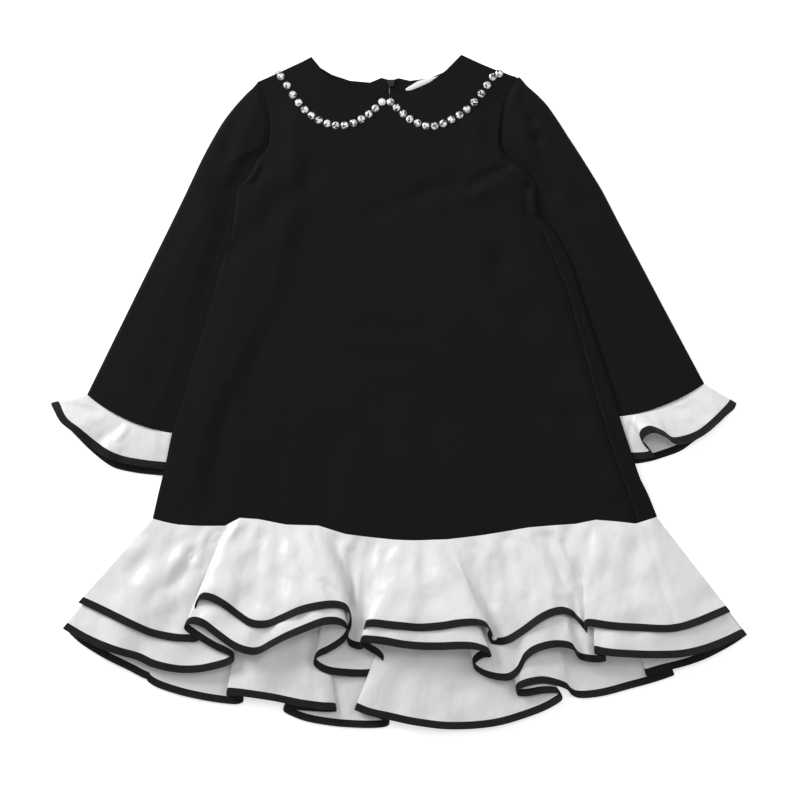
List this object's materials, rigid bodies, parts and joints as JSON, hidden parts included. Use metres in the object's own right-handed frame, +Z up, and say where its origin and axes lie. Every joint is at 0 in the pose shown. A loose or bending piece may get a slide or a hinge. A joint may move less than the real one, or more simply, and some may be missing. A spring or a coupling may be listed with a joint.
{
  "type": "long-sleeve dress",
  "caption": "Child's A-line dress laid flat, black with long sleeves, white bound flounces at cuffs and a two-tier flounced hem, and round stones in a collar outline.",
  "frame": {"origin": "middle of the dress's outline on the surface it lies on", "axes": "+X to the right seen from above, +Y towards the neck, +Z up from the surface"},
  "size_m": [0.6949, 0.6752, 0.035],
  "materials": {
    "black_ponte": "matte",
    "white_satin": "satin",
    "black_binding": "satin",
    "stone": "gloss",
    "zip": "satin",
    "label": "matte"
  },
  "bodies": {
    "root": {"front_panel": "black_ponte", "back_panel_left": "black_ponte", "back_panel_right": "black_ponte", "sleeve_left": "black_ponte", "sleeve_right": "black_ponte", "cuff_flounce_left": "white_satin", "cuff_flounce_right": "white_satin", "cuff_binding_left": "black_binding", "cuff_binding_right": "black_binding", "upper_flounce_front": "white_satin", "upper_flounce_back": "white_satin", "lower_flounce_front": "white_satin", "lower_flounce_back": "white_satin", "upper_binding_front": "black_binding", "upper_binding_back": "black_binding", "lower_binding_front": "black_binding", "lower_binding_back": "black_binding", "zip_chain": "zip", "zip_slider": "zip", "neck_label": "label", "stone_01": "stone", "stone_02": "stone", "stone_03": "stone", "stone_04": "stone", "stone_05": "stone", "stone_06": "stone", "stone_07": "stone", "stone_08": "stone", "stone_09": "stone", "stone_10": "stone", "stone_11": "stone", "stone_12": "stone", "stone_13": "stone", "stone_14": "stone", "stone_15": "stone", "stone_16": "stone", "stone_17": "stone", "stone_18": "stone", "stone_19": "stone", "stone_20": "stone", "stone_21": "stone", "stone_22": "stone", "stone_23": "stone", "stone_24": "stone", "stone_25": "stone", "stone_26": "stone", "stone_27": "stone", "stone_28": "stone", "stone_29": "stone", "stone_30": "stone"}
  },
  "joints": []
}
